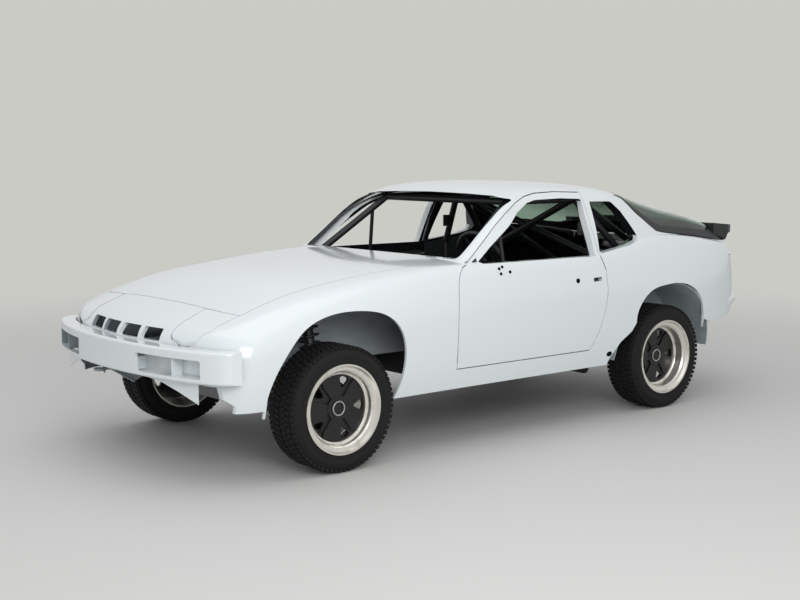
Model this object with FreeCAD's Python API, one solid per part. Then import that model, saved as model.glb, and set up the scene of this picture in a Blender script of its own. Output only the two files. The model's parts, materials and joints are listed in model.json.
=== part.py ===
"""A stripped two-door rally coupe on its wheels: bare painted shell, roll cage and running gear.

Frame: +X forward, +Y to the car's left, +Z up, origin on the ground below the middle of the bounding box.
Lengths are millimetres. A station is a distance from the front axle, ahead of it positive.
"""
import FreeCAD, Part
import math
import os

V = FreeCAD.Vector

# Main sizes
WHEELBASE = 2400.0
FRONT_OVERHANG = 820.0
REAR_OVERHANG = 992.0
FRONT_TRACK = 1500.0
REAR_TRACK = 1420.0
SHUT_GAP = 5.0
SEAT_GAP = 0.3

# Shell walls
SIDE_WALL = 60.0
END_WALL = 30.0
ROOF_WALL = 28.0
FENDER_WALL = 14.0
LID_WALL = 20.0
DOOR_WALL = 90.0
DOOR_FRAME_WALL = 34.0
HATCH_WALL = 25.0
GLASS_WALL = 7.0
HATCH_LIFT = 6.0
SILL_Z = 312.0
FLOOR_WALL = 12.0

# Under the shell
TUB_R = 446.0
TUB_WALL = 6.0
TUB_INNER_Y = 480.0
TUB_FOOT_Z = 330.0
POST_STATION = 694.0
POST_DEPTH = 110.0
POST_INNER_Y = 580.0
BULKHEAD_STATION = 778.0
BULKHEAD_HALF = 700.0
BULKHEAD_TOP_Z = 900.0
HINGE_HEIGHTS = (520.0, 760.0)
BONNET_ARM_Y = 500.0
LID_HINGE = ((499.0, 412.0, 775.0), (468.0, 650.0, 762.0))
LID_PIN_R = 4.0
LID_PIN_REACH = 2.8
LEG_INNER_Y = 392.0
LEG_WIDTH = 60.0
LEG_Z = 472.0
LEG_HEIGHT = 75.0
LEG_END_STATION = 740.0
WING_WALL = 6.0
REAR_DECK_Z = 560.0
TUNNEL_HALF = 110.0
TUNNEL_TOP_Z = 452.0

# Bumper
BUMPER_Z = 490.0
BUMPER_HEIGHT = 150.0
BUMPER_WALL = 14.0
BUMPER_FLANGE = 45.0
BUMPER_EDGE_R = 12.0
BUMPER_NOSE_GAP = 10.0
BUMPER_ARM_Y = 240.0
LAMP_HOLE = (300.0, 722.0, 512.0, 598.0)
BUCKET_INNER_Y = 545.0
BUCKET_DEPTH = 55.0
BUCKET_WALL = 4.0

# Wheels
TYRE_R = 306.5
TYRE_WIDTH = 205.0
TYRE_SIDES = 56
RIM_LIP_R = 218.0
RIM_WIDTH = 203.0
RIM_WALL = 6.0
RIM_FLANGE = 14.0
RIM_DROP = 22.0
RIM_LEDGE_R = 164.0
HUB_R = 60.0
HUB_RING_R = 37.0
FRONT_SPOKE_INSET = 52.0
REAR_SPOKE_INSET = 78.0
SPOKE_COUNT = 5
SPIDER_DEPTH = 34.0
SPIDER_WEB = 14.0
PETAL_RISE = 11.0
KINGPIN_INSET = 105.0
KINGPIN_LEAN = 15.0
STRUT_R = 26.0
STRUT_DROP = 110.0
STRUT_RISE = 480.0
SPRING_START = 236.0
TOWER_Z = 807.0
CROSSMEMBER_HALF = 440.0
TORSION_AHEAD = 430.0
TORSION_R = 34.0
HUB_REACH = 178.0
REAR_FLOOR_STEP_Z = 320.0
SPRING_R = 50.0
SPRING_WIRE_R = 6.0
SPRING_TURNS = 6
COIL_LENGTHS = 16

# Seat bolt holes in the floor and tow eye
SEAT_STATION = 1330.0
SEAT_Y = 370.0
SEAT_PITCH_X = 300.0
SEAT_PITCH_Y = 360.0
SEAT_HOLE_R = 4.2
TOW_EYE_R = 18.0
TOW_EYE_WALL = 12.0
TOW_EYE_STATION = 640.0
TOW_EYE_Z = 400.0
TOW_PLATE = 6.0

# Roll cage and steering
CAGE_R = 20.0
BRACE_R = 11.0
FOOT_PLATE = 8.0
STEERING_WHEEL_R = 180.0
STEERING_RIM_R = 14.0
STEERING_RAKE = 22.0
COLUMN_R = 16.0

DRAWN_WHEELBASE = 2400.0
FRONT_AXLE_X = (FRONT_OVERHANG + WHEELBASE + REAR_OVERHANG) / 2 - FRONT_OVERHANG
REAR_AXLE_X = FRONT_AXLE_X - WHEELBASE
FAR = 3000.0


def at(station):
    """Model x of a station; stations between the axles stretch with the wheelbase."""
    if station >= 0:
        return FRONT_AXLE_X + station
    if station <= -DRAWN_WHEELBASE:
        return REAR_AXLE_X + station + DRAWN_WHEELBASE
    return FRONT_AXLE_X + station * WHEELBASE / DRAWN_WHEELBASE


def curve(table):
    """A smooth curve through a table of (station, value) that never overshoots its points."""
    knots = sorted(table)
    xs = [k[0] for k in knots]
    ys = [k[1] for k in knots]
    last = len(xs) - 1
    rise = [(ys[i + 1] - ys[i]) / (xs[i + 1] - xs[i]) for i in range(last)]
    slope = [rise[0]]
    for i in range(1, last):
        turn = rise[i - 1] * rise[i]
        slope.append(2 * turn / (rise[i - 1] + rise[i]) if turn > 0 else 0.0)
    slope.append(rise[-1])

    def value(x):
        if x <= xs[0]:
            return ys[0]
        if x >= xs[-1]:
            return ys[-1]
        i = max(k for k in range(last) if xs[k] <= x)
        h = xs[i + 1] - xs[i]
        t = (x - xs[i]) / h
        start = (1 + 2 * t) * (1 - t) ** 2 * ys[i] + t * (1 - t) ** 2 * h * slope[i]
        return start + t * t * (3 - 2 * t) * ys[i + 1] + t * t * (t - 1) * h * slope[i + 1]
    return value


def mix(a, b, share):
    return a + (b - a) * share


# Lower body, by station: widest half width, shoulder half width and height, crown height
BODY_HALF = curve([(745, 130), (738, 220), (725, 310), (705, 440), (680, 560), (650, 660), (615, 745),
                   (570, 803), (520, 835), (460, 848), (300, 857), (0, 858), (-500, 846), (-720, 843),
                   (-1850, 843), (-2466, 848), (-2650, 840), (-2800, 817), (-2900, 797), (-3020, 762),
                   (-3120, 722), (-3210, 672), (-3290, 606), (-3340, 515), (-3370, 400), (-3390, 250)])
SHOULDER_HALF = curve([(745, 100), (738, 175), (725, 250), (705, 370), (680, 480), (650, 575), (615, 650),
                       (570, 695), (520, 715), (460, 722), (300, 728), (0, 735), (-720, 765), (-850, 770),
                       (-1100, 788), (-1700, 788), (-1950, 775), (-2150, 755), (-2350, 730), (-2550, 718),
                       (-2900, 706), (-3020, 692), (-3120, 666), (-3210, 626), (-3290, 572), (-3340, 480),
                       (-3370, 360), (-3390, 220)])
SHOULDER_Z = curve([(745, 560), (738, 580), (725, 610), (705, 642), (680, 668), (650, 690), (615, 708),
                    (570, 724), (520, 741), (460, 762), (390, 787), (300, 813), (180, 842), (40, 867),
                    (-120, 891), (-300, 911), (-500, 929), (-720, 943), (-850, 949), (-1100, 952),
                    (-1400, 948), (-1700, 950), (-1950, 980), (-2150, 1014), (-2350, 1038), (-2550, 1028),
                    (-2750, 1006), (-2900, 984), (-3020, 968), (-3120, 950), (-3210, 926), (-3290, 882),
                    (-3340, 850), (-3370, 825), (-3390, 800)])
CROWN_Z = curve([(745, 620), (738, 655), (725, 680), (705, 703), (680, 722), (650, 738), (615, 751),
                 (570, 767), (520, 786), (460, 807), (390, 837), (300, 872), (180, 914), (40, 934),
                 (-120, 945), (-300, 955), (-500, 963), (-720, 968), (-850, 970), (-1100, 962),
                 (-1700, 960), (-1950, 985), (-2350, 1042), (-2900, 992), (-3120, 962), (-3210, 948),
                 (-3290, 922), (-3340, 890), (-3370, 862), (-3390, 835)])
BODY_STATIONS = [745, 738, 725, 705, 680, 650, 615, 570, 520, 460, 390, 300, 180, 40, -120, -300, -500,
                 -720, -850, -1100, -1400, -1700, -1950, -2150, -2350, -2550, -2750, -2900, -3020, -3120,
                 -3210, -3290, -3340, -3370, -3392]
WAIST_Z = 650.0
SILL_TUCK = 42.0

# Cabin top, by station: height, height lost to the corner, half widths at the belt and at the corner
ROOF_Z = curve([(-790, 930), (-850, 972), (-1330, 1320), (-1420, 1340), (-1600, 1349), (-1780, 1345),
                (-2050, 1329), (-2190, 1308), (-2300, 1286), (-2400, 1260), (-2500, 1234), (-2600, 1207),
                (-2850, 1154), (-3050, 1094), (-3150, 1056), (-3200, 1040)])
CORNER_DROP = curve([(-790, 12), (-1000, 20), (-1260, 30), (-1370, 38), (-1600, 42), (-2190, 45),
                     (-2400, 60), (-2600, 60), (-3050, 42), (-3200, 32)])
BELT_HALF = curve([(-790, 735), (-850, 742), (-1000, 765), (-1200, 782), (-1700, 782), (-1950, 772),
                   (-2190, 750), (-2400, 727), (-2600, 712), (-2900, 698), (-3050, 684), (-3200, 645)])
CORNER_HALF = curve([(-790, 722), (-850, 716), (-1000, 700), (-1180, 675), (-1320, 627), (-1370, 616),
                     (-1500, 611), (-1950, 608), (-2400, 600), (-2900, 608), (-3050, 600), (-3200, 570)])
CABIN_STATIONS = [-790, -850, -920, -1000, -1090, -1180, -1260, -1320, -1370, -1420, -1500, -1620, -1780,
                  -1950, -2080, -2190, -2300, -2400, -2500, -2600, -2750, -2900, -3050, -3150, -3200]
BELT_SINK = 70.0


def mirrored(half):
    """Full section from its left half, which runs from the bottom up to the centre."""
    return half + [V(p.x, -p.y, p.z) for p in reversed(half)]


def squeezed(stations, s, wall):
    """A station moved towards the middle of its range, so that each end moves in by the wall."""
    middle = (stations[0] + stations[-1]) / 2
    reach = (stations[0] - stations[-1]) / 2
    return mix(middle, s, 1 - wall / reach)


def body_section(s, side=0.0, top=0.0, end=0.0):
    """A section of the lower body; with walls given, the section of the space inside them."""
    wide, shoulder = BODY_HALF(s), SHOULDER_HALF(s)
    height, crown = SHOULDER_Z(s), CROWN_Z(s)
    waist = min(WAIST_Z, mix(SILL_Z, height, 0.6))
    foot = wide - SILL_TUCK
    low = SILL_Z - top
    points = [(foot, low), (mix(foot, wide, 0.62), mix(SILL_Z, waist, 0.28)), (wide, mix(SILL_Z, waist, 0.72)),
              (wide + 2, mix(waist, height, 0.2) - top * 0.2),
              (mix(wide, shoulder, 0.28), mix(waist, height, 0.66) - top * 0.66),
              (mix(wide, shoulder, 0.68), mix(waist, height, 0.92) - top * 0.92),
              (shoulder, height - top), (shoulder * 0.84, mix(height, crown, 0.36) - top),
              (shoulder * 0.6, mix(height, crown, 0.74) - top), (shoulder * 0.35, mix(height, crown, 0.95) - top),
              (shoulder * 0.12, crown - top)]
    x = at(squeezed(BODY_STATIONS, s, end))
    return mirrored([V(x, y * (1 - side / wide), z) for y, z in points])


def cabin_section(s, side=0.0, top=0.0, end=0.0):
    """A section of the cabin top; with walls given, the section of the space inside them."""
    belt, corner, roof = BELT_HALF(s), CORNER_HALF(s), ROOF_Z(s)
    low = min(SHOULDER_Z(s), roof) - BELT_SINK
    edge = roof - CORNER_DROP(s)
    points = [(belt + 22, low), (mix(belt, corner, 0.12) + 6, mix(low, edge, 0.3)),
              (mix(belt, corner, 0.45) + 4, mix(low, edge, 0.6)), (mix(belt, corner, 0.78), mix(low, edge, 0.86)),
              (corner, edge), (corner * 0.82, mix(edge, roof, 0.55)), (corner * 0.52, mix(edge, roof, 0.88)),
              (corner * 0.18, roof)]
    x = at(squeezed(CABIN_STATIONS, s, end))
    return mirrored([V(x, y * (1 - side / belt), z - top) for y, z in points])


def skinned(sections):
    """A closed solid under a smooth surface that follows rows of section points."""
    rows, columns = len(sections), len(sections[0])
    surface = Part.BSplineSurface()
    surface.buildFromPolesMultsKnots(sections, [4] + [1] * (rows - 4) + [4], [4] + [1] * (columns - 4) + [4],
                                     list(range(rows - 2)), list(range(columns - 2)), False, False, 3, 3)
    u0, u1, v0, v1 = surface.bounds()
    faces = [surface.toShape(), Part.makeRuledSurface(surface.vIso(v0).toShape(), surface.vIso(v1).toShape())]
    for u, row in ((u0, sections[0]), (u1, sections[-1])):
        faces.append(Part.Face(Part.Wire([surface.uIso(u).toShape(), Part.makeLine(row[-1], row[0])])))
    shell = Part.makeShell(faces)
    shell.sewShape()
    return solid_of(shell)


def solid_of(shell):
    solid = Part.Solid(shell)
    if solid.Volume < 0:
        solid.reverse()
    return solid


def body_solid(*walls):
    return skinned([body_section(s, *walls) for s in BODY_STATIONS])


def cabin_solid(*walls):
    return skinned([cabin_section(s, *walls) for s in CABIN_STATIONS])


def inside(*walls):
    """The space inside the whole body behind walls across the car, upwards and along the car."""
    return body_solid(*walls).fuse(cabin_solid(*walls))


def outline(points, place):
    """A closed wire through corners (a, b); a third value is the radius that rounds a corner."""
    runs = []
    for i, corner in enumerate(points):
        p = V(corner[0], corner[1], 0)
        if len(corner) < 3:
            runs.append((p, None, p))
            continue
        before, after = points[i - 1], points[(i + 1) % len(points)]
        u = (V(before[0], before[1], 0) - p).normalize()
        v = (V(after[0], after[1], 0) - p).normalize()
        half = u.getAngle(v) / 2
        centre = p + (u + v).normalize() * (corner[2] / math.sin(half))
        middle = centre + (p - centre).normalize() * corner[2]
        reach = corner[2] / math.tan(half)
        runs.append((p + u * reach, middle, p + v * reach))
    edges = []
    for i, (start, middle, end) in enumerate(runs):
        edges.append(Part.makeLine(place(runs[i - 1][2]), place(start)))
        if middle:
            edges.append(Part.Arc(place(start), place(middle), place(end)).toShape())
    return Part.Face(Part.Wire(edges))


def side_prism(points, y0, y1):
    """A prism across the car whose outline is (station, z)."""
    return outline(points, lambda p: V(at(p.x), y0, p.y)).extrude(V(0, y1 - y0, 0))


def plan_prism(points, z0, z1):
    """An upright prism whose outline is (station, y)."""
    return outline(points, lambda p: V(at(p.x), p.y, z0)).extrude(V(0, 0, z1 - z0))


def front_prism(points, s0, s1):
    """A prism along the car whose outline is (y, z)."""
    return outline(points, lambda p: V(at(s0), p.x, p.y)).extrude(V(at(s1) - at(s0), 0, 0))


def smooth_line(points):
    """A smooth edge through its points."""
    line = Part.BSplineCurve()
    line.interpolate(points)
    return line.toShape()


def bow(points, z, back, height):
    """An upright block behind a bow drawn by its left half, which ends on the centre line."""
    left = [V(at(s), y, z) for s, y in points]
    line = Part.BSplineCurve()
    line.buildFromPoles(left + [V(p.x, -p.y, z) for p in reversed(left[:-1])], False, 3)
    end, x = left[0], at(back)
    corners = [end, V(x, end.y, z), V(x, -end.y, z), V(end.x, -end.y, z)]
    sides = [Part.makeLine(a, b) for a, b in zip(corners, corners[1:])]
    return Part.Face(Part.Wire([line.toShape()] + sides)).extrude(V(0, 0, height))


def rounded_bow(block, r):
    """The block with the two edges of its bow rounded."""
    return block.makeFillet(r, [e for e in block.Edges if e.Curve.TypeId == "Part::GeomBSplineCurve"])


def arch_prism(curved, straight, y0, y1):
    """A prism across the car under a smooth arch, closed by straight runs, given as (station, z)."""
    over = [V(at(s), y0, z) for s, z in curved]
    under = [over[-1]] + [V(at(s), y0, z) for s, z in straight] + [over[0]]
    edges = [smooth_line(over)] + [Part.makeLine(a, b) for a, b in zip(under, under[1:])]
    return Part.Face(Part.Wire(edges)).extrude(V(0, y1 - y0, 0))


def moved_in(points, d):
    """An open outline moved to its right-hand side by d."""
    out = []
    for i, b in enumerate(points):
        a, c = points[max(i - 1, 0)], points[min(i + 1, len(points) - 1)]
        run = math.hypot(c[0] - a[0], c[1] - a[1])
        out.append((b[0] + (c[1] - a[1]) / run * d, b[1] - (c[0] - a[0]) / run * d))
    return out


def grown(points, d):
    """A closed outline moved outwards by d, with mitred corners and its radii kept."""
    area = 0
    for i in range(len(points)):
        a, b = points[i - 1], points[i]
        area += a[0] * b[1] - b[0] * a[1]
    side = d if area > 0 else -d
    out = []
    for i in range(len(points)):
        a, b, c = points[i - 1], points[i], points[(i + 1) % len(points)]
        e = (b[0] - a[0], b[1] - a[1])
        f = (c[0] - b[0], c[1] - b[1])
        le, lf = math.hypot(*e), math.hypot(*f)
        n = (e[1] / le, -e[0] / le)
        m = (f[1] / lf, -f[0] / lf)
        k = side / (1 + n[0] * m[0] + n[1] * m[1])
        out.append((b[0] + (n[0] + m[0]) * k, b[1] + (n[1] + m[1]) * k) + tuple(b[2:]))
    return out


def box(x0, x1, y0, y1, z0, z1):
    return Part.makeBox(x1 - x0, y1 - y0, z1 - z0, V(x0, y0, z0))


def rod(a, b, r):
    a, b = V(*a), V(*b)
    return Part.makeCylinder(r, a.distanceToPoint(b), a, b - a)


def fused(shapes):
    shapes = list(shapes)
    return shapes[0].fuse(shapes[1:]).removeSplitter() if len(shapes) > 1 else shapes[0]


def flipped(shape):
    return shape.mirror(V(0, 0, 0), V(0, 1, 0))


def biggest(shape):
    return max(shape.Solids, key=lambda s: s.Volume)


def tube_run(points, r):
    """Straight tubes from point to point with a ball in each bend."""
    parts = [rod(a, b, r) for a, b in zip(points, points[1:])]
    parts += [Part.makeSphere(r, V(*p)) for p in points[1:-1]]
    return parts


NODES = {}


def keep(name, shape):
    NODES[name] = shape


def keep_pair(name, left):
    keep(name + "_left", left)
    keep(name + "_right", flipped(left))


def keep_both(name, left):
    """One node of two mirrored solids that don't touch."""
    keep(name, Part.makeCompound([left, flipped(left)]))


# Outlines of the panels, as (station, z) seen from the side, (station, y) from above or (y, z) from ahead
DOOR_LINE = [(-736, 419), (-1719, 418), (-1775, 500), (-1822, 620), (-1850, 740), (-1846, 860), (-1823, 936),
             (-1825, 1106), (-1846, 1284), (-1640, 1292), (-1483, 1287), (-1397, 1272), (-1298, 1237),
             (-1196, 1185), (-1111, 1128), (-1029, 1061), (-953, 999), (-892, 951), (-809, 928), (-777, 896),
             (-755, 847), (-743, 773), (-732, 672), (-731, 544)]
DOOR_BELT_Z = 940.0
DOOR_GLASS_LINE = [(-934, 940, 8), (-1792, 936, 6), (-1808, 1162), (-1830, 1250, 14), (-1662, 1258), (-1460, 1254, 60),
                   (-1395, 1240), (-1288, 1190), (-1205, 1129), (-1128, 1080), (-1042, 1022)]
QUARTER_GLASS_LINE = [(-1838, 948, 10), (-2100, 982), (-2212, 1012, 26), (-2131, 1173), (-2076, 1230, 40),
                      (-1890, 1234, 12), (-1872, 1132)]
SCREEN_LINE = [(672, 962), (682, 980), (678, 1014), (668, 1098), (661, 1168), (640, 1262, 32), (500, 1279),
               (300, 1286), (0, 1290), (-300, 1286), (-500, 1279), (-640, 1262, 32), (-661, 1168), (-668, 1098),
               (-678, 1014), (-682, 980), (-672, 962)]
HATCH_LINE = [(-2185, 1400), (-2185, 1262), (-2200, 1245), (-2272, 1157), (-2367, 1078), (-2408, 1047),
              (-2464, 1036), (-2711, 1005), (-2951, 975), (-3120, 952), (-3330, 940), (-3330, 1400)]
PANE_LINE = [(-2246, 1500), (-2238, 1232), (-2294, 1179), (-2420, 1099), (-2496, 1072), (-2788, 1044),
             (-2960, 1026, 20), (-3046, 1040, 10), (-3046, 1500)]
BOOT_LINE = [(-2260, -640), (-2260, 640), (-3090, 600), (-3090, -600)]
BONNET_LINE = [(485, 0), (484, 250), (480, 408), (467, 540), (452, 640), (440, 658), (-400, 658), (-835, 668),
               (-835, 0)]
LID_LINE = [(488, 412), (473, 540), (458, 640), (446, 653), (600, 644), (650, 602, 14), (676, 520), (682, 440, 12),
            (676, 427), (576, 424)]
FENDER_SPLIT = [(-700, 300), (-726, 420), (-726, 560), (-727, 672), (-738, 773), (-750, 847), (-772, 896),
                (-806, 928), (-815, 975), (-815, 1500), (900, 1500), (900, 300)]
ROOF_SPLIT = [(-1262, 600), (-1480, 612), (-1846, 607), (-2030, 594), (-2190, 568), (-2190, -568),
              (-2030, -594), (-1846, -607), (-1480, -612), (-1262, -600)]
SILL_SEAM = 1800.0
SILL_TOP_Z = 450.0
TAIL_SEAM_Y = 596.0
FRONT_ARCH = [(421, 409), (402, 470), (366, 540), (306, 622), (222, 700), (108, 750), (-8, 769), (-100, 769),
              (-200, 757), (-280, 728), (-335, 682), (-370, 620), (-385, 545), (-380, 455), (-361, 381),
              (-331, 313)]
REAR_ARCH = [(-2098, 540), (-2112, 613), (-2154, 668), (-2241, 722), (-2350, 741), (-2466, 745), (-2550, 731),
             (-2638, 694), (-2702, 626), (-2733, 513)]
REAR_ARCH_FOOT = [(-2760, 290), (-1880, 290), (-1905, 352), (-1977, 438), (-2062, 492)]
TAIL_UNDERSIDE = [(-2740, 290), (-2740, 505), (-2850, 474), (-3000, 480), (-3132, 492), (-3230, 528), (-3310, 570),
                  (-3500, 590), (-3500, 290)]
TAIL_LEDGE = [(-2960, 765), (-3050, 748), (-3120, 725), (-3205, 690), (-3273, 650), (-3338, 600), (-3366, 520),
              (-3381, 400), (-3389, 200), (-3391, 0)]
NOSE_UNDERSIDE = [(430, 290), (430, 350), (559, 348), (559, 380), (600, 412), (610, 470), (900, 470), (900, 290)]
BUMPER_LINE = [(612, 846), (632, 838), (652, 820), (680, 776), (718, 690), (754, 570), (783, 440), (804, 300),
               (816, 150), (820, 0)]
SLOTS = ((14.0, 178.0), (200.0, 353.0))
SLOT_HEIGHTS = (645.0, 702.0)


def wheel_well(radius, side):
    """A cylinder over the rear wheel from the inner wall of its tub outwards."""
    y = TUB_INNER_Y if side > 0 else -FAR
    return Part.makeCylinder(radius, FAR - TUB_INNER_Y, V(REAR_AXLE_X, y, TYRE_R), V(0, 1, 0))


def make_body():
    hull = body_solid()
    cabin = cabin_solid()
    whole = hull.fuse([cabin, rounded_bow(bow(TAIL_LEDGE, 545, -2900, 55), 18)])
    return hull, cabin, whole.cut([side_prism(TAIL_UNDERSIDE, -FAR, FAR), side_prism(NOSE_UNDERSIDE, -FAR, FAR)])


def bonnet_outline():
    """The bonnet's outline on both sides of the car."""
    both = BONNET_LINE + [(s, -y) for s, y in reversed(BONNET_LINE)]
    return [p for i, p in enumerate(both) if p != both[i - 1]]


def both_sides(make):
    return [make(1), make(-1)]


def make_shell():
    hull, cabin, whole = make_body()
    room = inside(SIDE_WALL, ROOF_WALL, END_WALL)
    lining = inside(FENDER_WALL, FENDER_WALL, FENDER_WALL)
    door_gap = side_prism(grown(DOOR_LINE, SHUT_GAP), -FAR, FAR)
    split_front = side_prism(FENDER_SPLIT, -FAR, FAR)
    front_foot = [(-331, 290), (421, 290)]
    front_arches = both_sides(lambda k: arch_prism(FRONT_ARCH, front_foot, k * 480, k * 1000))
    rear_arches = both_sides(lambda k: arch_prism(REAR_ARCH, REAR_ARCH_FOOT, k * 480, k * 1000))
    wells = both_sides(lambda k: wheel_well(TUB_R + SEAT_GAP, k).common(lining))
    hatch_hole = side_prism(HATCH_LINE, -FAR, FAR).cut(hull)
    jack_hole = both_sides(lambda k: rod((at(-1901), k * 740, 376), (at(-1901), k * 900, 376), 14))
    windows = [side_prism(QUARTER_GLASS_LINE, -FAR, FAR), front_prism(SCREEN_LINE, -760, -1440)]
    bonnet_gap = plan_prism(grown(bonnet_outline(), SHUT_GAP), 500, 1200)
    boot_hole = plan_prism(BOOT_LINE, 900, 1250)
    shell = whole.cut([split_front, bonnet_gap, room, door_gap, hatch_hole, boot_hole] + windows)
    shell = biggest(shell.cut(rear_arches + wells + jack_hole))
    split_shell(shell)
    make_front(whole, lining, split_front, [door_gap] + front_arches)
    make_bonnet(hull)
    make_doors(hull, cabin, whole, lining)
    make_hatch(hull, cabin)
    return hull, lining


def split_shell(shell):
    """The shell's panels: scuttle with pillars and sills, roof, two rear quarters, tail."""
    roof = plan_prism(ROOF_SPLIT, 1200, 1500)
    rear = box(-FAR, at(-SILL_SEAM), -FAR, FAR, 0, FAR).fuse(box(-FAR, FAR, -FAR, FAR, 0, SILL_TOP_Z))
    tail = box(-FAR, at(-2900), -TAIL_SEAM_Y, TAIL_SEAM_Y, 0, FAR)
    keep("roof_panel", biggest(shell.common(roof)))
    sides = shell.cut(roof)
    keep("body_shell", biggest(sides.cut(rear)))
    behind = sides.common(rear)
    lamp = [(352, 706, 14), (580, 706, 14), (580, 806, 14), (352, 806, 14)]
    recesses = [front_prism([(k * y, z, r) for y, z, r in lamp], -3378, -3200) for k in (1, -1)]
    plate = front_prism([(-260, 690, 10), (260, 690, 10), (260, 802, 10), (-260, 802, 10)], -3384, -3420)
    keep("tail_panel", biggest(behind.common(tail).cut([plate] + recesses)))
    keep_both("quarter_panels", biggest(behind.cut(tail).common(box(-FAR, FAR, 0, FAR, 0, FAR))))


def make_front(whole, lining, split_front, openings):
    front = whole.common(split_front).cut([lining] + openings)
    cuts = [plan_prism(grown(bonnet_outline(), SHUT_GAP), 500, 1200)]
    for side in (1, -1):
        lid = [(p[0], p[1] * side) + tuple(p[2:]) for p in grown(LID_LINE, SHUT_GAP)]
        cuts.append(plan_prism(lid, 500, 1200))
    front = front.cut(cuts)
    middle = box(at(445), at(900), -658, 658, 200, 1200)
    keep_both("fenders", biggest(front.cut(middle).common(box(-FAR, FAR, 0, FAR, 0, FAR))))
    z0, z1 = SLOT_HEIGHTS
    slots = []
    for y0, y1 in SLOTS + tuple((-b, -a) for a, b in SLOTS):
        slots.append(front_prism([(y0, z0, 8), (y1, z0, 8), (y1 - 3, z1, 8), (y0 + 3, z1, 8)], 600, 900))
    keep("nose_panel", biggest(front.common(middle).cut(slots)))


def make_bonnet(hull):
    under = hull.translated(V(0, 0, -LID_WALL))
    bonnet = biggest(hull.common(plan_prism(bonnet_outline(), 500, 1200)).cut(under))
    arms = [box(at(-792), at(-752), y - 20, y + 20, BULKHEAD_TOP_Z + SEAT_GAP, BULKHEAD_TOP_Z + 42)
            for y in (-BONNET_ARM_Y, BONNET_ARM_Y)]
    keep("bonnet", fused([bonnet] + arms))
    # The lid's outer rear corner is blunt, so that it clears the bonnet when the lid swings up
    tip = box(at(430), at(457), 630, 660, 500, 1200)
    lid = biggest(hull.common(plan_prism(LID_LINE, 500, 1200)).cut([under, tip]))
    inner, outer = LID_HINGE
    pins = [lid_pin(inner[1] - LID_PIN_REACH, inner[1] + 18), lid_pin(outer[1] - 18, outer[1] + LID_PIN_REACH)]
    keep_pair("lamp_lid", fused([lid] + pins))


def lid_pin(y0, y1):
    """A hinge pin of a lamp lid between two widths, along the lid's rear edge."""
    inner, outer = LID_HINGE
    ends = []
    for y in (y0, y1):
        share = (y - inner[1]) / (outer[1] - inner[1])
        ends.append((at(mix(inner[0], outer[0], share)), y, mix(inner[2], outer[2], share)))
    return rod(ends[0], ends[1], LID_PIN_R)


def make_doors(hull, cabin, whole, lining):
    inner_line = grown(DOOR_LINE, -12)
    low_line = [p for p in inner_line if p[1] < DOOR_BELT_Z]
    skin = whole.common(side_prism(DOOR_LINE, 0, FAR)).cut(lining)
    cabin_room = cabin_solid(DOOR_FRAME_WALL, DOOR_FRAME_WALL, END_WALL)
    core = hull.common(side_prism(low_line, 0, FAR)).cut([body_solid(DOOR_WALL, ROOF_WALL, END_WALL), cabin_room])
    frame = cabin.common(side_prism(inner_line, 0, FAR)).cut(cabin_room)
    handle = [(-1741, 798, 6), (-1808, 800, 6), (-1808, 822, 6), (-1741, 820, 6)]
    dash_room = box(at(-905), FAR, 0, 684, 0, FAR)
    openings = [dash_room, side_prism(DOOR_GLASS_LINE, 0, FAR), side_prism(handle, 800, FAR),
                plan_prism(grown(bonnet_outline(), SHUT_GAP), 500, 1200)]
    door = biggest(skin.fuse([core, frame]).cut(openings))
    leaves = [box(at(-790), at(-POST_STATION) - SEAT_GAP, 752, 782, z, z + 44) for z in HINGE_HEIGHTS]
    keep_pair("door", fused([door] + leaves))


def make_hatch(hull, cabin):
    lid = cabin.common(side_prism(grown(HATCH_LINE, -SHUT_GAP), -FAR, FAR)).cut(hull.translated(V(0, 0, HATCH_LIFT)))
    pane = side_prism(PANE_LINE, -FAR, FAR)
    frame = lid.cut([cabin_solid(HATCH_WALL, HATCH_WALL, HATCH_WALL), pane])
    leaves = [box(at(-2215), at(-2185) - SEAT_GAP, y - 25, y + 25, 1276, 1288) for y in (-400, 400)]
    keep("hatch_frame", fused([biggest(frame)] + leaves))
    keep("hatch_glass", biggest(lid.cut(cabin_solid(GLASS_WALL, GLASS_WALL, GLASS_WALL)).common(pane)))
    profile = [(-3050, 1000), (-3050, 1068, 6), (-3130, 1060), (-3250, 1050), (-3290, 1038, 10), (-3288, 1006, 6),
               (-3200, 996, 8), (-3178, 960)]
    plan = [(-2900, -640), (-2900, 640), (-3200, 634), (-3268, 604, 24), (-3296, 500), (-3304, 0), (-3296, -500),
            (-3268, -604, 24), (-3200, -634)]
    spoiler = side_prism(profile, -640, 640).common(plan_prism(plan, 900, 1200))
    spoiler = spoiler.cut([hull.translated(V(0, 0, SHUT_GAP)), lid.translated(V(-SEAT_GAP, 0, SEAT_GAP))])
    keep("spoiler", biggest(spoiler))


def bumper_block(inset, z0, z1):
    """Everything behind the bumper's outer line moved in by an inset, between two heights."""
    return bow(moved_in(BUMPER_LINE, inset), z0, 560, z1 - z0)


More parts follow.
